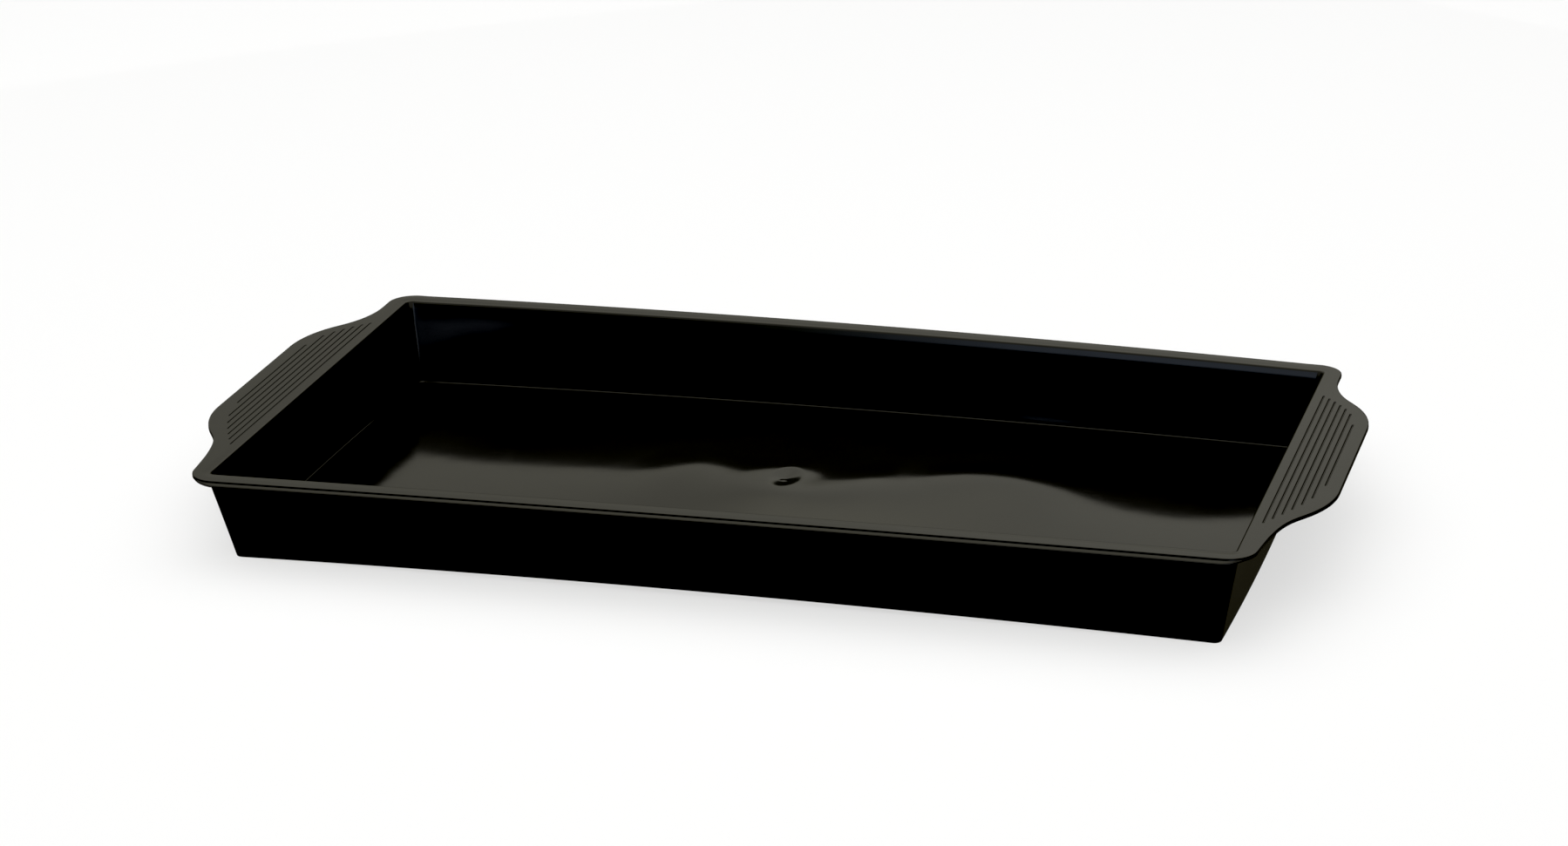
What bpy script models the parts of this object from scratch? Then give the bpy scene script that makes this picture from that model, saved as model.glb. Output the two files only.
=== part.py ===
"""Paint roller tray: a shallow drafted pan with a flat rim and a grooved handle at each end.

The real tray is one injection moulding with no fasteners and nothing that moves. It is modelled as
the five regions that a person would name: the watertight pan, the two long rims and the two handles,
which stay a hair's breadth apart. X runs along the tray, Y across it and Z up. The origin is the
middle of the underside. All sizes are in metres.
"""

import math

import bmesh
import bpy

# Driving dimensions
MOUTH_LENGTH = 0.500  # inside the walls, at the rim
MOUTH_WIDTH = 0.270
HEIGHT = 0.047
WALL = 0.002
DRAFT = 0.009  # how far each wall leans out between the base and the rim
PAN_RADIUS = 0.0035  # outside radius of the pan's corners and of its bottom edge
RIM_WIDTH = 0.0095  # from the mouth to the rim's outer edge
RIM_RADIUS = 0.014
LIP_DEPTH = 0.003  # the rim's outer edge turns down this far
LIP_WALL = 0.0018
GAP = 0.0003  # between neighbouring regions

# Handles
HANDLE_REACH = 0.034  # from the mouth to the handle's straight outer edge
FLANK_ANGLE = math.radians(37)  # between the flank and the tray's width
INNER_CURVE = 0.055  # radius where the flank leaves the rim
OUTER_CURVE = 0.062  # radius where the flank meets the straight outer edge
GRIP_HALF = 0.047  # half the straight outer edge
HANDLE_CENTRE = 0.0025  # the handles sit this far behind the tray's middle
PLATE = 0.002

# Grip grooves, from the one nearest the mouth outwards
GROOVE_HALF_LENGTHS = (0.095, 0.090, 0.0845, 0.0785, 0.072, 0.0635, 0.046)
GROOVE_SHIFT = 0.0013  # each groove sits this much further behind the tray's middle than the last
GROOVE_FIRST = 0.0059  # from the mouth to the first groove's centre line
GROOVE_PITCH = 0.0034
GROOVE_WIDTH = 0.0009
GROOVE_DEPTH = 0.0004

# The mark that the mould's feed point leaves in the floor
DIMPLE_RADIUS = 0.009
DIMPLE_FLAT_RADIUS = 0.004
DIMPLE_DEPTH = 0.0006

ARC_STEPS = 8
OVERSHOOT = 0.010  # how far a cutter passes the surface it cuts
BLACK_PLASTIC = (0.012, 0.012, 0.011, 1)
GLOSS_ROUGHNESS = 0.22

HALF_LENGTH = MOUTH_LENGTH / 2
HALF_WIDTH = MOUTH_WIDTH / 2
RIM_HALF_LENGTH = HALF_LENGTH + RIM_WIDTH
RIM_HALF_WIDTH = HALF_WIDTH + RIM_WIDTH
RIM_SPLIT = HALF_WIDTH + WALL + GAP  # where the long rims end and the handles begin


def clear_scene():
    for obj in list(bpy.data.objects):
        bpy.data.objects.remove(obj, do_unlink=True)


def new_collection(name):
    collection = bpy.data.collections.new(name)
    bpy.context.scene.collection.children.link(collection)
    return collection


def plastic(name):
    material = bpy.data.materials.new(name)
    material.use_nodes = True
    shader = material.node_tree.nodes["Principled BSDF"]
    shader.inputs["Base Color"].default_value = BLACK_PLASTIC
    shader.inputs["Roughness"].default_value = GLOSS_ROUGHNESS
    shader.inputs["Metallic"].default_value = 0
    return material


def add_mesh(name, shape, collection):
    """Turns a bmesh into an object in the collection."""
    mesh = bpy.data.meshes.new(name)
    shape.to_mesh(mesh)
    shape.free()
    obj = bpy.data.objects.new(name, mesh)
    collection.objects.link(obj)
    return obj


def add_box(name, low, high, collection):
    shape = bmesh.new()
    bmesh.ops.create_cube(shape, size=1)
    for vert in shape.verts:
        for axis in range(3):
            vert.co[axis] = high[axis] if vert.co[axis] > 0 else low[axis]
    return add_mesh(name, shape, collection)


def drafted_block(low, high, grow=0):
    """A block with the pan's outside shape between two heights, a little larger or smaller all round."""
    shape = bmesh.new()
    bmesh.ops.create_cube(shape, size=2)
    for vert in shape.verts:
        z = high if vert.co.z > 0 else low
        lean = WALL + grow - DRAFT * (HEIGHT - z) / HEIGHT
        vert.co.x *= HALF_LENGTH + lean
        vert.co.y *= HALF_WIDTH + lean
        vert.co.z = z
    return shape


def arc(centre, radius, start, end):
    """Points along an arc, angles measured from +X."""
    turns = [start + (end - start) * i / ARC_STEPS for i in range(ARC_STEPS + 1)]
    return [(centre[0] + radius * math.cos(a), centre[1] + radius * math.sin(a)) for a in turns]


def add_plate(name, outline, top, thickness, collection):
    """A flat plate with this outline, its upper face at the height top."""
    curve = bpy.data.curves.new(name, "CURVE")
    curve.dimensions = "2D"
    curve.fill_mode = "BOTH"
    curve.extrude = thickness / 2
    spline = curve.splines.new("POLY")
    spline.points.add(len(outline) - 1)
    for point, (x, y) in zip(spline.points, outline):
        point.co = (x, y, 0, 1)
    spline.use_cyclic_u = True
    guide = bpy.data.objects.new(name + "_outline", curve)
    guide.location.z = top - thickness / 2
    collection.objects.link(guide)
    bpy.context.view_layer.update()
    graph = bpy.context.evaluated_depsgraph_get()
    mesh = bpy.data.meshes.new_from_object(guide.evaluated_get(graph))
    shape = bmesh.new()
    shape.from_mesh(mesh)
    shape.transform(guide.matrix_world)
    bmesh.ops.remove_doubles(shape, verts=shape.verts, dist=1e-6)
    bpy.data.objects.remove(guide)
    return add_mesh(name, shape, collection)


def combine(target, cutters, operation, helpers):
    """Gives the target a Boolean with each cutter, and puts the cutters out of sight."""
    for cutter in cutters:
        modifier = target.modifiers.new(cutter.name, "BOOLEAN")
        modifier.operation = operation
        modifier.solver = "EXACT"
        modifier.object = cutter
        cutter.hide_render = True
        cutter.display_type = "WIRE"
        if cutter.name not in helpers.objects:
            helpers.objects.link(cutter)


def add_pan(parts, helpers):
    """The floor and the four leaning walls, as one open shell of even thickness."""
    shape = drafted_block(0, HEIGHT + OVERSHOOT)
    lid = max(shape.faces, key=lambda face: face.calc_center_median().z)
    bmesh.ops.delete(shape, geom=[lid], context="FACES_ONLY")
    pan = add_mesh("tray_pan", shape, parts)
    bevel = pan.modifiers.new("round_corners", "BEVEL")
    bevel.width = PAN_RADIUS
    bevel.segments = 4
    bevel.limit_method = "ANGLE"
    shell = pan.modifiers.new("wall", "SOLIDIFY")
    shell.thickness = WALL
    shell.offset = -1
    shell.use_even_offset = True
    reach = HALF_LENGTH + 3 * OVERSHOOT
    trim = add_box("trim", (-reach, -reach, HEIGHT), (reach, reach, HEIGHT + 3 * OVERSHOOT), helpers)
    combine(pan, [trim, add_dimple_cutter(helpers)], "DIFFERENCE", helpers)
    return pan


def add_dimple_cutter(helpers):
    shape = bmesh.new()
    bmesh.ops.create_cone(
        shape,
        cap_ends=True,
        segments=32,
        radius1=DIMPLE_FLAT_RADIUS,
        radius2=2 * DIMPLE_RADIUS - DIMPLE_FLAT_RADIUS,
        depth=2 * DIMPLE_DEPTH,
    )
    cutter = add_mesh("dimple", shape, helpers)
    cutter.location.z = WALL
    return cutter


def rim_outline(inset=0):
    """The rim's outer edge: a rectangle with rounded corners."""
    x = RIM_HALF_LENGTH - RIM_RADIUS
    y = RIM_HALF_WIDTH - RIM_RADIUS
    points = []
    for turn, (cx, cy) in enumerate(((x, y), (-x, y), (-x, -y), (x, -y))):
        start = turn * math.pi / 2
        points += arc((cx, cy), RIM_RADIUS - inset, start, start + math.pi / 2)
    return points


def add_long_rim(name, side, parts, helpers):
    """The rim along one long wall, with its edge turned down. side is -1 in front and 1 behind."""
    rim = add_plate(name, rim_outline(), HEIGHT, LIP_DEPTH, parts)
    strip_low = (-RIM_HALF_LENGTH - OVERSHOOT, RIM_SPLIT, 0)
    strip_high = (RIM_HALF_LENGTH + OVERSHOOT, RIM_HALF_WIDTH + OVERSHOOT, HEIGHT + OVERSHOOT)
    if side < 0:
        strip_low, strip_high = (
            (strip_low[0], -strip_high[1], strip_low[2]),
            (strip_high[0], -strip_low[1], strip_high[2]),
        )
    strip = add_box(name + "_strip", strip_low, strip_high, helpers)
    combine(rim, [strip], "INTERSECT", helpers)
    under = HEIGHT - PLATE
    hollow = add_plate(name + "_hollow", rim_outline(LIP_WALL), under, LIP_DEPTH, helpers)
    combine(rim, [hollow], "DIFFERENCE", helpers)
    return rim


def flank(middle):
    """The handle's outline from its straight edge to the rim, at +X and +Y. middle is the handle's, in Y."""
    turn = FLANK_ANGLE
    edge_y = middle + GRIP_HALF
    outer_centre = (HALF_LENGTH + HANDLE_REACH - OUTER_CURVE, edge_y)
    outer = arc(outer_centre, OUTER_CURVE, 0, turn)
    fall = HANDLE_REACH - RIM_WIDTH
    fall_on_arcs = (OUTER_CURVE + INNER_CURVE) * (1 - math.cos(turn))
    straight = (fall - fall_on_arcs) / math.sin(turn)
    start_x, start_y = outer[-1]
    inner_start = (start_x - straight * math.sin(turn), start_y + straight * math.cos(turn))
    inner_centre = (
        inner_start[0] + INNER_CURVE * math.cos(turn),
        inner_start[1] + INNER_CURVE * math.sin(turn),
    )
    inner = arc(inner_centre, INNER_CURVE, math.pi + turn, math.pi)
    return outer + inner


def handle_outline():
    """The short side's rim and the handle beyond it, for the +X end, as far as the long rims."""
    corner_y = RIM_HALF_WIDTH - RIM_RADIUS
    corner = arc((RIM_HALF_LENGTH - RIM_RADIUS, corner_y), RIM_RADIUS, 0, math.pi / 2)
    end = corner + [(HALF_LENGTH - OVERSHOOT, RIM_HALF_WIDTH)]
    rear = flank(HANDLE_CENTRE) + end
    front = flank(-HANDLE_CENTRE) + end
    return rear + [(x, -y) for x, y in reversed(front)]


def groove_outline(number):
    """A slot with round ends, for the +X handle."""
    x = HALF_LENGTH + GROOVE_FIRST + number * GROOVE_PITCH
    middle = GROOVE_SHIFT * number
    reach = GROOVE_HALF_LENGTHS[number] - GROOVE_WIDTH / 2
    far = arc((x, middle + reach), GROOVE_WIDTH / 2, 0, math.pi)
    near = arc((x, middle - reach), GROOVE_WIDTH / 2, math.pi, 2 * math.pi)
    return far + near


def mirrored(outline):
    return [(-x, y) for x, y in reversed(outline)]


def add_handle(name, side, parts, helpers):
    """A handle with the short side's rim. side is 1 at the +X end and -1 at the -X end."""
    turned = mirrored if side < 0 else list
    handle = add_plate(name, turned(handle_outline()), HEIGHT, PLATE, parts)
    reach = RIM_HALF_LENGTH + HANDLE_REACH
    between = add_box(
        name + "_between",
        (-reach, -RIM_SPLIT + GAP, 0),
        (reach, RIM_SPLIT - GAP, HEIGHT + OVERSHOOT),
        helpers,
    )
    combine(handle, [between], "INTERSECT", helpers)
    shape = drafted_block(-OVERSHOOT, HEIGHT + OVERSHOOT, GAP)
    cutters = [add_mesh(name + "_pan_space", shape, helpers)]
    for number in range(len(GROOVE_HALF_LENGTHS)):
        cutters.append(
            add_plate(
                f"{name}_groove_{number + 1}",
                turned(groove_outline(number)),
                HEIGHT + OVERSHOOT,
                OVERSHOOT + GROOVE_DEPTH,
                helpers,
            )
        )
    combine(handle, cutters, "DIFFERENCE", helpers)
    return handle


def main():
    clear_scene()
    parts = new_collection("paint_roller_tray")
    helpers = new_collection("cutters")
    tray = bpy.data.objects.new("paint_roller_tray", None)
    parts.objects.link(tray)
    pieces = [
        add_pan(parts, helpers),
        add_long_rim("front_rim", -1, parts, helpers),
        add_long_rim("rear_rim", 1, parts, helpers),
        add_handle("left_handle", -1, parts, helpers),
        add_handle("right_handle", 1, parts, helpers),
    ]
    for piece in pieces:
        piece.parent = tray
        piece.data.materials.append(plastic(piece.name + "_plastic"))
        piece.data.shade_smooth()
        piece.data.set_sharp_from_angle(angle=math.radians(30))


main()
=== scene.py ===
"""Paint roller tray: the looks of the moulding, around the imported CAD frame.

The real tray is one piece of glossy black plastic, so one continuous skin stands for the pan, the two
rims and the two handles. It keeps the CAD's sizes and adds what a mould and its cooling leave: rounded
edges, a rolled lip, a crowned floor with the feed mark in its middle, sunk grip grooves and a slight
warp. X runs along the tray, Y across it and Z up, in metres.
"""

import math
from collections import namedtuple

import bmesh
import bpy
from mathutils import Matrix, Vector


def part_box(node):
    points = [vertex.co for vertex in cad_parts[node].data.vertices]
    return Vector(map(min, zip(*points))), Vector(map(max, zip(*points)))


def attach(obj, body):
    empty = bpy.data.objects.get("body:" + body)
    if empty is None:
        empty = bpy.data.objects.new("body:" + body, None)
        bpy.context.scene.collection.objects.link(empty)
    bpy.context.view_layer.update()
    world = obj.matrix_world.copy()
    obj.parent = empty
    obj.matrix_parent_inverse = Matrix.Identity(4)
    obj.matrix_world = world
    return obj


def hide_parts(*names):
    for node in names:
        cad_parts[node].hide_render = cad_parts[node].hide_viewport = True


MM = 0.001

# Names in the frame
PAN_NODE = "tray_pan"
RIM_NODE = "rear_rim"
HANDLE_NODE = "right_handle"
CAD_NODES = (PAN_NODE, "front_rim", RIM_NODE, "left_handle", HANDLE_NODE)

# The section of the wall and the rim
WALL = 2 * MM
DRAFT = 9 * MM  # how far the outside of each wall leans out between the base and the rim
INNER_DRAFT = 8.2 * MM  # the same for the inside, below the band at the mouth
PLATE = 2 * MM
LIP_WALL = 1.8 * MM

# Rounded edges and corners
FLOOR_FILLET = 0.5 * MM
MOUTH_ROUND = 1.2 * MM
MOUTH_BAND = 3.6 * MM  # the top of the inside of the wall leans out more
MOUTH_BAND_LEAN = math.radians(15)
MOUTH_FALL = 0.12 * MM  # the rim's top eases down this much towards the mouth
BASE_ROUND = 0.6 * MM
UNDER_FILLET = 1 * MM
INNER_CORNER = 3 * MM  # plan radius of the pan's inside corners
OUTER_CORNER = 3.5 * MM
RIM_CORNER = 14 * MM
LIP_EDGE = 0.35 * MM

# The lip's section on the rim and, point for point, on the handle: how far out of the edge and how far
# above the rim's top, in millimetres. On the rim a thin edge drops to a skirt that flares out and rolls
# under; on the handle the edge is the plate's own.
LIP_ON_RIM = (
    (-0.35, 0), (-0.17, -0.05), (-0.05, -0.17), (0, -0.35), (0, -0.7), (0, -1.05), (0.04, -1.15),
    (0.12, -1.22), (0.4, -1.4), (0.75, -1.63), (1.1, -1.87), (1.35, -2.07), (1.47, -2.25), (1.5, -2.5),
    (1.44, -2.72), (1.3, -2.88), (1.05, -3.0), (0.6, -3.0), (0.1, -2.9), (-0.4, -2.6), (-0.9, -2.25),
)  # fmt: skip
LIP_ON_HANDLE = (
    (-0.35, 0), (-0.17, -0.05), (-0.05, -0.17), (0, -0.35), (0, -0.5), (0, -0.65), (0, -0.8),
    (0, -0.9), (0, -1.0), (0, -1.1), (0, -1.2), (0, -1.3), (0, -1.4), (0, -1.55),
    (-0.05, -1.8), (-0.17, -1.93), (-0.35, -2.0), (-0.6, -2.0), (-0.9, -2.0), (-1.2, -2.0), (-1.6, -2.0),
)  # fmt: skip

# The handle's outline
FLANK_ANGLE = math.radians(37)
INNER_CURVE = 55 * MM
OUTER_CURVE = 62 * MM
GRIP_HALF = 47 * MM
HANDLE_CENTRE = 2.5 * MM  # the handles sit this far behind the tray's middle
NECK = 2.4 * MM  # how much the rim is wider where each handle's front flank leaves it
NECK_CENTRE = 106 * MM  # in front of the tray's middle
NECK_HALF = 30 * MM

# Grip grooves, from the one nearest the mouth outwards
GROOVE_HALF_LENGTHS = [length * MM for length in (95, 90, 84.5, 78.5, 72, 63.5, 46)]
GROOVE_SHIFT = 1.3 * MM  # each groove sits this much further behind the tray's middle than the last
GROOVE_FIRST = 5.9 * MM
GROOVE_PITCH = 3.4 * MM
GROOVE_RADIUS = 0.6 * MM
GROOVE_LIFT = 0.08 * MM  # of the round cutter's axis above the plate
GROOVE_SIDES = 12
GROOVE_STEPS = 48
GROOVE_END_STEPS = 5

# The floor's crown and the feed mark in its middle
PANEL_RISE = 3 * MM  # the floor stands this much above the foot that runs round it underneath
FOOT_WIDTH = 4 * MM
FEED_CONE = (46, 85, 3.8)  # the peak around the feed point: spread in X and in Y, and rise, in mm
FEED_CONE_TIP = 0.2  # how blunt its tip is
FLOOR_SWELLS = (  # where it has drawn up or sunk, in mm: middle in X and Y, spread in X and Y, and rise
    (25, -8, 102, 69, 5.1),
    (-54, 28, 20, 37, 1.3),
    (96, 45, 38, 39, 3.0),
    (14, 13, 20, 33, -1.5),
    (205, 80, 60, 60, -3.3),
    (-167, 46, 69, 42, -0.8),
)
DISH_RADIUS = 24 * MM
DISH_DEPTH = 0.5 * MM
MARK_HALF_WIDTH = 7.5 * MM
MARK_HALF_LENGTH = 15 * MM
MARK_SHIFT = 4 * MM  # of the mark's deepest point behind the nub
MARK_DEPTH = 1.1 * MM
NUB_RADIUS = 2 * MM
NUB_HEIGHT = 0.3 * MM

# Warp
BOW_BASE = 3.0 * MM  # how far the middle of each long edge has risen at the base and at the rim
BOW_RIM_FRONT = 1.0 * MM
BOW_RIM_REAR = 2.9 * MM
BOW_SPAN = 0.965  # the bow ends here, as a share of half the length
TWIST = 1.65 * MM  # how far the rim's corners have moved up or down
SPLAY = 0.8 * MM  # the rim's front corners have spread this much
BULGE = 3 * MM  # the foot of each short wall stands out this much in its middle

# Mesh
LONG_CELLS = 170
SHORT_CELLS = 94
CORNER_CELLS = 12  # even, because each corner is shared by two sides
ARC_CELLS = 5
FLOOR_FILLET_CELLS = 8
UNDER_FILLET_CELLS = 4
CROWDING = 0.6  # how much closer the cells are in the middle of a side
SHARP_ANGLE = math.radians(35)

# Where the rings sit along each stretch of the section, as shares of the stretch
INNER_WALL_STOPS = (0.03, 0.2, 0.4, 0.6, 0.8, 0.98)
MOUTH_BAND_STOPS = (0.15, 0.6, 0.9)
RIM_TOP_STOPS = (0.02, 0.1, 0.2, 0.3, 0.4, 0.5, 0.65, 0.8, 0.97)
UNDER_STOPS = (0, 0.03, 0.25, 0.5, 0.75, 0.97)
OUTER_WALL_STOPS = (0.03, 0.2, 0.4, 0.6, 0.8, 0.97)
# For the foot: how far in, in foot widths, and how far up to the panel
FOOT_STOPS = ((0.3, 0), (0.9, 0), (1, 0.05), (1.15, 0.5), (1.3, 0.95), (1.35, 1))

# The plastic
DARK_PLASTIC = (0.0008, 0.0008, 0.0007, 1)
PALER_PLASTIC = (0.0014, 0.0014, 0.0011, 1)
GLOSS_ROUGHNESS = 0.075
HAZE_ROUGHNESS = 0.105
SMEAR_ROUGHNESS = 0.05  # what a smear adds
PLASTIC_IOR = 1.5

# The camera
CAMERA_AZIMUTH = math.radians(16.14)  # from straight in front, towards +X
CAMERA_ELEVATION = math.radians(19.52)
CAMERA_ROLL = math.radians(-1.14)
CAMERA_DISTANCE = 1.963
CAMERA_TARGET = Vector((0.0176, -0.0589, 0.0659))
CAMERA_LENS = 93.44  # in mm, on a sensor 36 mm wide

# The stage and its lights
STAGE_SIZE = 16
STAGE_COLOUR = (0.86, 0.86, 0.855, 1)
LIGHT_SIZE = 7
LIGHT_HEIGHT = 3
FILL_ENERGY = 285
KEY_ENERGY = 38
BACKGROUND = (0.97, 0.97, 0.965, 1)
SHADOWS_CUT = 0.0052  # the exposure drops light below this to black

# The room that only the gloss mirrors
BEHIND_LEFT = (0.370, 0.360, 0.302, 1)
BEHIND_RIGHT = (0.480, 0.470, 0.405, 1)
CAMERA_SIDE = (0.42, 0.405, 0.335, 1)
ZENITH = (1.1, 1.06, 0.85, 1)
ZENITH_TILT = 0.35  # how far the zenith leans towards the tray's rear
BLUE_GLOW = (0.55, 0.63, 0.76, 1)
SIDE_LAMP = (2.2, 2.35, 2.7, 1)
DUSK = (0.085, 0.083, 0.040, 1)
BELOW_BEHIND = (0.027, 0.025, 0.017, 1)
BLACK = (0, 0, 0, 1)

Ring = namedtuple("Ring", "out height radius wing handle_out handle_height")


def lerp(a, b, share):
    return a + (b - a) * share


def smooth(low, high, value):
    """0 below low, 1 above high and a smooth step between."""
    share = min(max((value - low) / (high - low), 0.0), 1.0)
    return share * share * (3 - 2 * share)


def bump(value, radius):
    """1 at 0, falling smoothly to 0 at the radius."""
    return 1 - smooth(0, radius, abs(value))


class Tray:
    """The driving dimensions that come from the CAD frame."""

    def __init__(self):
        low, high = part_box(PAN_NODE)
        self.half_length = high[0] - WALL
        self.half_width = high[1] - WALL
        self.height = high[2]
        self.rim_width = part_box(RIM_NODE)[1][1] - self.half_width
        self.handle_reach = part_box(HANDLE_NODE)[1][0] - self.half_length


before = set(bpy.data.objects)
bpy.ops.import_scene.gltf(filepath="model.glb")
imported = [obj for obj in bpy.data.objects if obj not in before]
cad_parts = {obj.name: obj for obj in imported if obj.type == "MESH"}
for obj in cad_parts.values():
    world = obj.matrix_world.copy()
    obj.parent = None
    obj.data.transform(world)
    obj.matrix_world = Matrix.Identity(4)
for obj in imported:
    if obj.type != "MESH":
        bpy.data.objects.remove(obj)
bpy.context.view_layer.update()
tray = Tray()
DRAFT_ANGLE = math.atan(DRAFT / tray.height)
INNER_DRAFT_ANGLE = math.atan(INNER_DRAFT / tray.height)


# ---------------------------------------------------------------- the section, from floor to base


def outer_wall(height):
    """How far out the outside of the wall is, measured from the mouth."""
    return WALL - DRAFT * (tray.height - height) / tray.height


def inner_wall(height):
    """How far out the inside of the wall is, measured from the mouth."""
    depth = tray.height - height
    band = min(depth, MOUTH_BAND)
    return -band * math.tan(MOUTH_BAND_LEAN) - (depth - band) * math.tan(INNER_DRAFT_ANGLE)


def arc(centre, radius, start, end, steps=ARC_CELLS):
    """Points (out, height) along an arc of the section. Angles are in degrees from straight out."""
    turns = [math.radians(lerp(start, end, i / steps)) for i in range(steps + 1)]
    return [(centre[0] + radius * math.cos(a), centre[1] + radius * math.sin(a)) for a in turns]


def plain(points, radius_at):
    """Rings that follow the rounded rectangle and leave the handles alone."""
    return [Ring(out, height, radius_at(out, height), 0, out, height) for out, height in points]


def inside_rings():
    """From the edge of the floor up the inside of the wall to the mouth."""
    lean = math.degrees(INNER_DRAFT_ANGLE)
    fillet_height = WALL + PANEL_RISE + FLOOR_FILLET
    fillet_out = inner_wall(fillet_height) - FLOOR_FILLET / math.cos(INNER_DRAFT_ANGLE)
    points = arc((fillet_out, fillet_height), FLOOR_FILLET, -90, -lean, FLOOR_FILLET_CELLS)
    top = tray.height - MOUTH_FALL - MOUTH_ROUND
    band_lean = math.degrees(MOUTH_BAND_LEAN)
    centre = (inner_wall(top) + MOUTH_ROUND / math.cos(MOUTH_BAND_LEAN), top)
    mouth = arc(centre, MOUTH_ROUND, 180 - band_lean, 90)
    low, high = points[-1][1], tray.height - MOUTH_BAND
    heights = [lerp(low, high, share) for share in INNER_WALL_STOPS]
    heights += [lerp(high, mouth[0][1], share) for share in MOUTH_BAND_STOPS]
    points += [(inner_wall(height), height) for height in heights]
    return plain(points + mouth, lambda out, height: INNER_CORNER + out - inner_wall(height))


def top_rings(mouth_edge):
    """The top of the rim, flat but for a slight fall towards the mouth, widening into the handles."""
    end = tray.rim_width - LIP_EDGE
    rings = []
    for share in RIM_TOP_STOPS:
        out = lerp(mouth_edge.out, end, share)
        radius = lerp(mouth_edge.radius, RIM_CORNER - LIP_EDGE, share)
        height = tray.height - MOUTH_FALL * (1 - smooth(0, 0.5, share))
        wing = smooth(0.1, 1, share) * share
        rings.append(Ring(out, height, radius, wing, out, height))
    return rings


def lip_rings():
    """Over the rim's outer edge and round under the lip."""
    rings = []
    for (out, drop), (handle_out, handle_drop) in zip(LIP_ON_RIM, LIP_ON_HANDLE):
        ring = Ring(
            out=tray.rim_width + out * MM,
            height=tray.height + drop * MM,
            radius=RIM_CORNER + out * MM,
            wing=1,
            handle_out=tray.rim_width + handle_out * MM,
            handle_height=tray.height + handle_drop * MM,
        )
        rings.append(ring)
    return rings


def under_rings():
    """The underside of the rim and the handles, back to the outside of the wall."""
    under = tray.height - PLATE
    start_out = tray.rim_width - LIP_WALL
    wall_out = outer_wall(under)
    lean = math.degrees(DRAFT_ANGLE)
    centre = (outer_wall(under - UNDER_FILLET) + UNDER_FILLET, under - UNDER_FILLET)
    fillet = arc(centre, UNDER_FILLET, 90, 180 - lean / 2, UNDER_FILLET_CELLS)
    end_out = fillet[0][0]
    end_radius = OUTER_CORNER + end_out - wall_out
    rings = []
    for share in UNDER_STOPS:
        out = lerp(start_out, end_out, share)
        radius = lerp(RIM_CORNER - LIP_WALL, end_radius, share)
        rings.append(Ring(out, under, radius, 1 - share, out, under))
    return rings + plain(fillet, lambda out, height: OUTER_CORNER + out - wall_out)


def outside_rings(wall_top):
    """Down the outside of the wall, round the bottom edge and under the foot."""
    lean = math.degrees(DRAFT_ANGLE)
    base_out = outer_wall(BASE_ROUND) - BASE_ROUND / math.cos(DRAFT_ANGLE)
    edge = arc((base_out, BASE_ROUND), BASE_ROUND, -lean, -90)
    points = []
    for share in OUTER_WALL_STOPS:
        height = lerp(wall_top.height, edge[0][1], share)
        points.append((outer_wall(height), height))
    base = plain(points + edge, lambda out, height: OUTER_CORNER + out - outer_wall(height))
    foot = base[-1]
    for inset, rise in FOOT_STOPS:
        out = foot.out - inset * FOOT_WIDTH
        height = rise * PANEL_RISE
        base.append(Ring(out, height, foot.radius, 0, out, height))
    return base


# ---------------------------------------------------------------- the outline, seen from above


def flank_reach(across):
    """How far the handle stands out beyond the rim, at this distance from the handle's middle."""
    full = tray.handle_reach - tray.rim_width
    fall = full - (OUTER_CURVE + INNER_CURVE) * (1 - math.cos(FLANK_ANGLE))
    outer_end = GRIP_HALF + OUTER_CURVE * math.sin(FLANK_ANGLE)
    inner_start = outer_end + fall / math.tan(FLANK_ANGLE)
    inner_end = inner_start + INNER_CURVE * math.sin(FLANK_ANGLE)
    if across <= GRIP_HALF:
        return full
    if across <= outer_end:
        return full - OUTER_CURVE + math.sqrt(OUTER_CURVE**2 - (across - GRIP_HALF) ** 2)
    if across <= inner_start:
        start = full - OUTER_CURVE * (1 - math.cos(FLANK_ANGLE))
        return start - (across - outer_end) * math.tan(FLANK_ANGLE)
    if across < inner_end:
        return INNER_CURVE - math.sqrt(INNER_CURVE**2 - (inner_end - across) ** 2)
    return 0.0


def extra_reach(y):
    """How far the short side's edge stands out beyond the plain rim, at this place across the tray."""
    return flank_reach(abs(y - HANDLE_CENTRE)) + NECK * bump(y + NECK_CENTRE, NECK_HALF)


def crowded(share):
    """A place between -1 and 1 along a side, for an even share between -1 and 1."""
    return share - CROWDING * math.sin(math.pi * share) / math.pi


def side_points(along, across, radius, cells):
    """One side in its own frame: from the middle of one corner to just before the middle of the next."""
    half = CORNER_CELLS // 2
    straight = along - radius
    points = []
    for i in range(-half, 0):
        turn = math.radians(45) * i / half
        points.append((radius * math.sin(turn) - straight, across - radius * (1 - math.cos(turn))))
    for i in range(cells):
        points.append((straight * crowded(2 * i / cells - 1), across))
    for i in range(half):
        turn = math.radians(45) * i / half
        points.append((radius * math.sin(turn) + straight, across - radius * (1 - math.cos(turn))))
    return points


def loop_points(out, height, radius, wing):
    """A loop round the tray at one height, in order from the middle of the front left corner."""
    half_x = tray.half_length + out
    half_y = tray.half_width + out
    points = []
    for side in range(4):
        turn = Matrix.Rotation(math.radians(90) * side, 3, "Z")
        if side % 2 == 0:
            edge = side_points(half_x, half_y, radius, LONG_CELLS)
        else:
            edge = side_points(half_y, half_x, radius, SHORT_CELLS)
            rearward = 1 if side == 1 else -1
            edge = [(along, across + wing * extra_reach(along * rearward)) for along, across in edge]
        points += [turn @ Vector((along, -across, height)) for along, across in edge]
    return points


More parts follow.
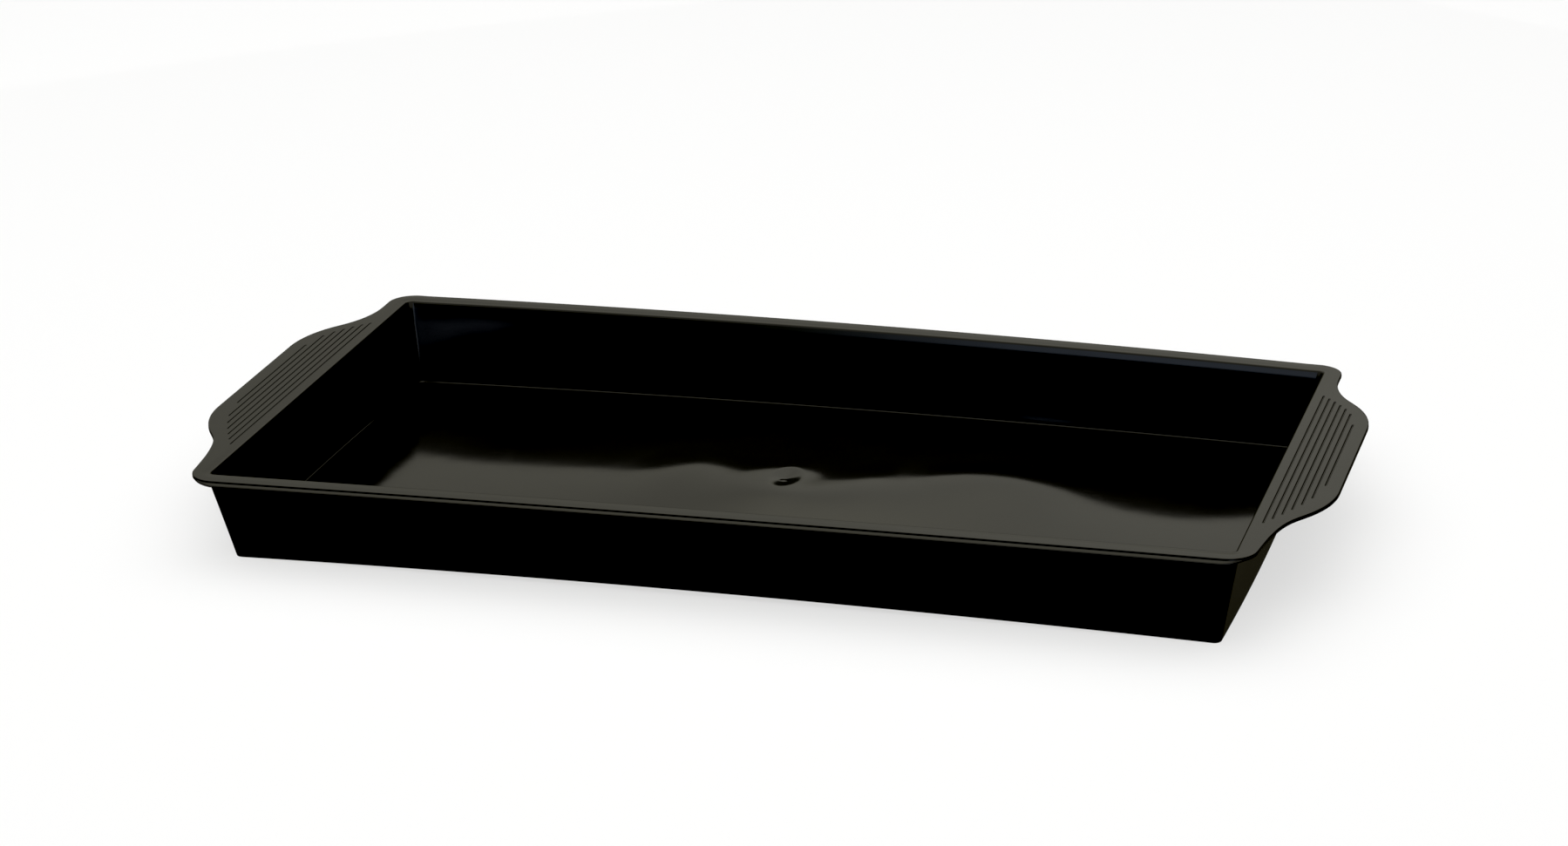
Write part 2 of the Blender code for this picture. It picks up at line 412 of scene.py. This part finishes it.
def handle_shares():
    """How far each point of a loop follows the handle's section: fully on the short sides only."""
    half = CORNER_CELLS // 2
    corner = [i / half for i in range(half)]
    falling = [1 - share for share in corner]
    long_side = falling + [0] * LONG_CELLS + corner
    short_side = [1] * (SHORT_CELLS + 2 * half)
    return 2 * (long_side + short_side)


def ring_points(ring):
    """The ring's loop, which turns from the rim's section to the handle's round each corner."""
    on_rim = loop_points(ring.out, ring.height, ring.radius, ring.wing)
    handle_radius = ring.radius + ring.handle_out - ring.out
    on_handle = loop_points(ring.handle_out, ring.handle_height, handle_radius, ring.wing)
    return [a.lerp(b, share) for a, b, share in zip(on_rim, on_handle, handle_shares())]


# ---------------------------------------------------------------- the floor


def crown(x, y):
    """How far the floor has risen: swells that come down to the level at the walls."""
    u = min(abs(x) / (tray.half_length - DRAFT), 1.0)
    v = min(abs(y) / (tray.half_width - DRAFT), 1.0)
    spread_x, spread_y, peak = FEED_CONE
    rise = peak * math.exp(-math.hypot(x / MM / spread_x, y / MM / spread_y, FEED_CONE_TIP))
    for middle_x, middle_y, spread_x, spread_y, height in FLOOR_SWELLS:
        away_x = (x / MM - middle_x) / spread_x
        away_y = (y / MM - middle_y) / spread_y
        rise += height * math.exp(-(away_x**2) - away_y**2)
    return PANEL_RISE + rise * MM * (1 - u**6) * (1 - v**2)


def feed_mark(x, y):
    """The shallow dish where the mould was fed, with a long pit in it and the cut sprue's nub."""
    radius = math.hypot(x, y)
    dish = DISH_DEPTH * bump(radius, DISH_RADIUS)
    away = math.hypot(x / MARK_HALF_WIDTH, (y - MARK_SHIFT) / MARK_HALF_LENGTH)
    pit = MARK_DEPTH * max(1 - away, 0)
    return NUB_HEIGHT * bump(radius, NUB_RADIUS) - dish - pit


def inside_patch(sides, corners, u, v):
    """One coordinate of a point between four sides, at the share u along the front and v to the rear."""
    front, rear, left, right = sides
    front_left, front_right, rear_left, rear_right = corners
    between_corners = lerp(lerp(front_left, front_right, u), lerp(rear_left, rear_right, u), v)
    return lerp(front, rear, v) + lerp(left, right, u) - between_corners


def add_grid(shape, loop, height_at, flip):
    """Fills a loop of vertices with a grid that takes its heights from a function."""
    columns = LONG_CELLS + CORNER_CELLS
    rows = SHORT_CELLS + CORNER_CELLS
    front = loop[: columns + 1]
    right = loop[columns : columns + rows + 1]
    rear = loop[columns + rows : 2 * columns + rows + 1][::-1]
    left = (loop[2 * columns + rows :] + loop[:1])[::-1]
    width = front[-1].co.x - front[0].co.x
    depth = right[-1].co.y - right[0].co.y
    corners = [vertex.co for vertex in (front[0], front[-1], rear[0], rear[-1])]
    grid = [front]
    for j in range(1, rows):
        v = (right[j].co.y - right[0].co.y) / depth
        row = [left[j]]
        for i in range(1, columns):
            u = (front[i].co.x - front[0].co.x) / width
            sides = [vertex.co for vertex in (front[i], rear[i], left[j], right[j])]
            x = inside_patch([side.x for side in sides], [corner.x for corner in corners], u, v)
            y = inside_patch([side.y for side in sides], [corner.y for corner in corners], u, v)
            row.append(shape.verts.new((x, y, height_at(x, y))))
        row.append(right[j])
        grid.append(row)
    grid.append(rear)
    for low, high in zip(grid, grid[1:]):
        for i in range(columns):
            cell = (low[i], low[i + 1], high[i + 1], high[i])
            shape.faces.new(cell[::-1] if flip else cell)


# ---------------------------------------------------------------- the moulding


def skin_mesh():
    """The whole moulding as one closed surface, still without grooves and warp."""
    inside = inside_rings()
    rings = inside + top_rings(inside[-1]) + lip_rings() + under_rings()
    rings += outside_rings(rings[-1])
    shape = bmesh.new()
    loops = [[shape.verts.new(point) for point in ring_points(ring)] for ring in rings]
    count = len(loops[0])
    for inner, outer in zip(loops, loops[1:]):
        for i in range(count):
            after = (i + 1) % count
            shape.faces.new((inner[i], outer[i], outer[after], inner[after]))
    add_grid(shape, loops[0], lambda x, y: WALL + crown(x, y) + feed_mark(x, y), False)
    add_grid(shape, loops[-1], crown, True)
    shape.normal_update()
    return shape


def add_capsule(shape, centre_x, centre_y, half_length, height):
    """A round bar with round ends along Y, which cuts one groove."""
    radius = GROOVE_RADIUS
    stations = []
    for i in range(1, GROOVE_END_STEPS + 1):
        turn = math.radians(90) * i / GROOVE_END_STEPS
        stations.append((-half_length + radius * (1 - math.cos(turn)), radius * math.sin(turn)))
    for i in range(1, GROOVE_STEPS):
        stations.append((lerp(-1, 1, i / GROOVE_STEPS) * (half_length - radius), radius))
    stations += [(-y, size) for y, size in stations[:GROOVE_END_STEPS]][::-1]
    turns = [2 * math.pi * (k + 0.5) / GROOVE_SIDES for k in range(GROOVE_SIDES)]
    loops = []
    for y, size in stations:
        offsets = [(size * math.cos(a), size * math.sin(a)) for a in turns]
        loops.append([shape.verts.new((centre_x + x, centre_y + y, height + z)) for x, z in offsets])
    tips = [shape.verts.new((centre_x, centre_y + side * half_length, height)) for side in (-1, 1)]
    for k in range(GROOVE_SIDES):
        after = (k + 1) % GROOVE_SIDES
        for low, high in zip(loops, loops[1:]):
            shape.faces.new((low[k], high[k], high[after], low[after]))
        shape.faces.new((tips[0], loops[0][k], loops[0][after]))
        shape.faces.new((tips[1], loops[-1][after], loops[-1][k]))


def groove_cutter():
    """One object with a round bar for every groove of both handles."""
    shape = bmesh.new()
    for side in (-1, 1):
        for number, half_length in enumerate(GROOVE_HALF_LENGTHS):
            x = side * (tray.half_length + GROOVE_FIRST + number * GROOVE_PITCH)
            add_capsule(shape, x, number * GROOVE_SHIFT, half_length, tray.height + GROOVE_LIFT)
    bmesh.ops.recalc_face_normals(shape, faces=shape.faces)
    mesh = bpy.data.meshes.new("groove_cutter")
    shape.to_mesh(mesh)
    shape.free()
    cutter = bpy.data.objects.new("groove_cutter", mesh)
    bpy.context.scene.collection.objects.link(cutter)
    return cutter


def warped(point):
    """The point after the moulding has cooled: the long edges bow up and the rim twists a little."""
    along = point.x / tray.half_length
    across = point.y / tray.half_width
    up = point.z / tray.height
    rear = min(max((across + 1) / 2, 0), 1)
    rim = lerp(BOW_RIM_FRONT, BOW_RIM_REAR, rear)
    bow = lerp(BOW_BASE, rim, up) * max(1 - (along / BOW_SPAN) ** 2, 0)
    spread = SPLAY * (1 - rear) * up + BULGE * max(1 - across**2, 0) * max(1 - up, 0)
    return Vector((point.x + spread * along, point.y, point.z + bow - TWIST * up * along * across))


def cut_grooves(moulding):
    """Gives the object a new mesh, which has the grooves."""
    cutter = groove_cutter()
    modifier = moulding.modifiers.new("grooves", "BOOLEAN")
    modifier.operation = "DIFFERENCE"
    modifier.solver = "EXACT"
    modifier.object = cutter
    graph = bpy.context.evaluated_depsgraph_get()
    cut = bpy.data.meshes.new_from_object(moulding.evaluated_get(graph))
    whole = moulding.data
    moulding.modifiers.clear()
    moulding.data = cut
    bpy.data.meshes.remove(whole)
    bpy.data.objects.remove(cutter)


def add_moulding(material):
    shape = skin_mesh()
    mesh = bpy.data.meshes.new("tray_moulding")
    shape.to_mesh(mesh)
    shape.free()
    moulding = bpy.data.objects.new("tray_moulding", mesh)
    bpy.context.scene.collection.objects.link(moulding)
    cut_grooves(moulding)
    mesh = moulding.data
    for vertex in mesh.vertices:
        vertex.co = warped(vertex.co)
    mesh.materials.clear()
    mesh.materials.append(material)
    mesh.shade_smooth()
    mesh.set_sharp_from_angle(angle=SHARP_ANGLE)
    return moulding


# ---------------------------------------------------------------- materials


class Nodes:
    """Adds nodes to a tree and links them."""

    def __init__(self, tree):
        self.tree = tree

    def feed(self, socket, value):
        """Links a socket to another's output, or gives it a plain value."""
        if isinstance(value, bpy.types.NodeSocket):
            self.tree.links.new(value, socket)
        else:
            socket.default_value = value

    def add(self, kind, inputs=None, **settings):
        node = self.tree.nodes.new(kind)
        for name, value in settings.items():
            setattr(node, name, value)
        for name, value in (inputs or {}).items():
            self.feed(node.inputs[name], value)
        return node

    def maths(self, operation, *values):
        node = self.add("ShaderNodeMath", operation=operation)
        for socket, value in zip(node.inputs, values):
            self.feed(socket, value)
        return node.outputs[0]

    def remap(self, value, low, high, to_low, to_high):
        """A smooth step from to_low to to_high as the value goes from low to high."""
        inputs = {"Value": value, "From Min": low, "From Max": high, "To Min": to_low, "To Max": to_high}
        return self.add("ShaderNodeMapRange", inputs, interpolation_type="SMOOTHSTEP").outputs["Result"]

    def mix(self, share, first, second):
        """The first colour, turning into the second as the share goes from 0 to 1."""
        node = self.add("ShaderNodeMix", data_type="RGBA")
        sockets = {socket.identifier: socket for socket in node.inputs}
        self.feed(sockets["Factor_Float"], share)
        self.feed(sockets["A_Color"], first)
        self.feed(sockets["B_Color"], second)
        return next(socket for socket in node.outputs if socket.identifier == "Result_Color")


def black_plastic():
    """Glossy black polypropylene: a tight reflection, broken by haze, fine grain and light scratches."""
    material = bpy.data.materials.new("black_plastic")
    material.use_nodes = True
    tree = material.node_tree
    nodes = Nodes(tree)
    shader = tree.nodes["Principled BSDF"]
    place = nodes.add("ShaderNodeTexCoord").outputs["Object"]

    def noise(scale, detail, stretch=(1, 1, 1)):
        mapped = nodes.add("ShaderNodeMapping", {"Vector": place, "Scale": stretch}).outputs["Vector"]
        inputs = {"Vector": mapped, "Scale": scale, "Detail": detail}
        return nodes.add("ShaderNodeTexNoise", inputs).outputs["Fac"]

    def raised(height, strength, distance, under=None, invert=False):
        inputs = {"Height": height, "Strength": strength, "Distance": distance}
        if under is not None:
            inputs["Normal"] = under
        return nodes.add("ShaderNodeBump", inputs, invert=invert).outputs["Normal"]

    tint = nodes.remap(noise(18, 3), 0.35, 0.7, 0, 1)
    colour = nodes.mix(tint, DARK_PLASTIC, PALER_PLASTIC)
    haze = nodes.remap(noise(9, 4), 0.3, 0.75, GLOSS_ROUGHNESS, HAZE_ROUGHNESS)
    smears = nodes.remap(noise(30, 5, (1, 0.25, 1)), 0.55, 0.8, 0, SMEAR_ROUGHNESS)
    roughness = nodes.maths("ADD", haze, smears)
    hairlines = nodes.remap(noise(3, 1, (6, 400, 400)), 0.72, 0.76, 0, 1)
    grain = raised(noise(2600, 2), 0.05, 0.04 * MM)
    waves = raised(noise(45, 1), 0.12, 0.4 * MM, grain)
    worn = raised(hairlines, 0.08, 0.04 * MM, waves, invert=True)

    tree.links.new(colour, shader.inputs["Base Color"])
    tree.links.new(roughness, shader.inputs["Roughness"])
    tree.links.new(worn, shader.inputs["Normal"])
    shader.inputs["IOR"].default_value = PLASTIC_IOR
    shader.inputs["Metallic"].default_value = 0
    return material


def pale_floor():
    material = bpy.data.materials.new("pale_floor")
    material.use_nodes = True
    shader = material.node_tree.nodes["Principled BSDF"]
    shader.inputs["Base Color"].default_value = STAGE_COLOUR
    shader.inputs["Roughness"].default_value = 0.9
    shader.inputs["Specular IOR Level"].default_value = 0
    return material


# ---------------------------------------------------------------- studio


def add_stage(material):
    bpy.ops.mesh.primitive_plane_add(size=STAGE_SIZE)
    floor = bpy.context.object
    floor.name = "stage_floor"
    floor.data.materials.append(material)
    floor.visible_glossy = False
    return floor


def add_camera():
    data = bpy.data.cameras.new("camera")
    data.lens = CAMERA_LENS
    data.sensor_width = 36
    data.clip_end = 50
    camera = bpy.data.objects.new("camera", data)
    bpy.context.scene.collection.objects.link(camera)
    level = math.cos(CAMERA_ELEVATION)
    back_x = math.sin(CAMERA_AZIMUTH) * level
    back_y = -math.cos(CAMERA_AZIMUTH) * level
    back = Vector((back_x, back_y, math.sin(CAMERA_ELEVATION)))
    right = Vector((0, 0, 1)).cross(back).normalized()
    up = back.cross(right)
    axes = Matrix((right, up, back)).transposed() @ Matrix.Rotation(CAMERA_ROLL, 3, "Z")
    camera.matrix_world = Matrix.Translation(CAMERA_TARGET + back * CAMERA_DISTANCE) @ axes.to_4x4()
    bpy.context.scene.camera = camera


def add_overhead_light(name, energy, casts_shadow):
    """A big soft box overhead, which lights the floor and leaves no highlight on the plastic."""
    data = bpy.data.lights.new(name, "AREA")
    data.shape = "RECTANGLE"
    data.size = LIGHT_SIZE
    data.size_y = LIGHT_SIZE
    data.energy = energy
    data.use_shadow = casts_shadow
    light = bpy.data.objects.new(name, data)
    light.location = (0, 0, LIGHT_HEIGHT)
    light.visible_glossy = False
    bpy.context.scene.collection.objects.link(light)


def overlap(nodes, *masks):
    """Where all the masks are bright."""
    product = masks[0]
    for mask in masks[1:]:
        product = nodes.maths("MULTIPLY", product, mask)
    return product


def room_above(nodes, x, y, z):
    """The grey room: dimmer far to the left behind the tray, black to the right, bright overhead."""
    behind = nodes.mix(nodes.remap(x, -0.38, -0.12, 0, 1), BEHIND_LEFT, BEHIND_RIGHT)
    behind = nodes.mix(nodes.remap(x, -0.06, 0.08, 0, 1), behind, BLACK)
    around = nodes.mix(nodes.remap(y, -0.35, 0.35, 0, 1), CAMERA_SIDE, behind)
    tilted = nodes.maths("MULTIPLY_ADD", y, ZENITH_TILT, z)
    return nodes.mix(nodes.remap(tilted, 0.70, 0.98, 0, 1), around, ZENITH)


def room_near_horizon(nodes, x, y, z):
    """Dusk, with a bluish window on the camera's side and a lamp to its right."""
    window = overlap(
        nodes,
        nodes.remap(x, -0.27, -0.19, 0, 1),
        nodes.remap(x, 0.2, 0.4, 1, 0),
        nodes.remap(y, -0.8, -0.6, 1, 0),
        nodes.remap(z, 0.05, 0.12, 0, 1),
    )
    lamp = overlap(
        nodes,
        nodes.remap(x, 0.2, 0.32, 0, 1),
        nodes.remap(x, 0.55, 0.7, 1, 0),
        nodes.remap(y, -0.5, -0.3, 1, 0),
        nodes.remap(z, 0.06, 0.12, 1, 0),
    )
    dusk = nodes.mix(nodes.remap(z, 0.02, 0.2, 0, 1), BLACK, DUSK)
    return nodes.mix(lamp, nodes.mix(window, dusk, BLUE_GLOW), SIDE_LAMP)


def room_below(nodes, y, z):
    """Nearly dark, with a faint glow behind the tray."""
    glow = nodes.mix(nodes.remap(y, -0.1, 0.5, 0, 1), BLACK, BELOW_BEHIND)
    return nodes.mix(nodes.remap(z, -0.75, -0.35, 1, 0), glow, BLACK)


def set_world():
    """The background that the camera sees, and a dim room that only the gloss mirrors."""
    world = bpy.data.worlds.new("studio")
    bpy.context.scene.world = world
    world.use_nodes = True
    tree = world.node_tree
    nodes = Nodes(tree)
    direction = nodes.add("ShaderNodeTexCoord").outputs["Generated"]
    split = nodes.add("ShaderNodeSeparateXYZ", {"Vector": direction})
    x, y, z = split.outputs["X"], split.outputs["Y"], split.outputs["Z"]
    low, high = room_near_horizon(nodes, x, y, z), room_above(nodes, x, y, z)
    room = nodes.mix(nodes.remap(z, 0.20, 0.30, 0, 1), low, high)
    mirrored = nodes.mix(nodes.remap(z, -0.10, -0.04, 0, 1), room_below(nodes, y, z), room)
    path = nodes.add("ShaderNodeLightPath")
    seen = nodes.mix(path.outputs["Is Camera Ray"], BLACK, BACKGROUND)
    colour = nodes.mix(path.outputs["Is Glossy Ray"], seen, mirrored)
    background = tree.nodes["Background"]
    tree.links.new(colour, background.inputs["Color"])
    background.inputs["Strength"].default_value = 1.0


def set_exposure():
    """Plain colours, with the deepest shadows cut to black."""
    view = bpy.context.scene.view_settings
    view.view_transform = "Standard"
    view.use_curve_mapping = True
    view.curve_mapping.black_level = (SHADOWS_CUT, SHADOWS_CUT, SHADOWS_CUT)
    view.curve_mapping.update()


def main():
    add_camera()
    add_stage(pale_floor())
    add_overhead_light("fill_light", FILL_ENERGY, casts_shadow=False)
    add_overhead_light("key_light", KEY_ENERGY, casts_shadow=True)
    set_world()
    set_exposure()
    moulding = add_moulding(black_plastic())
    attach(moulding, "root")
    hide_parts(*CAD_NODES)


main()
bpy.context.view_layer.update()
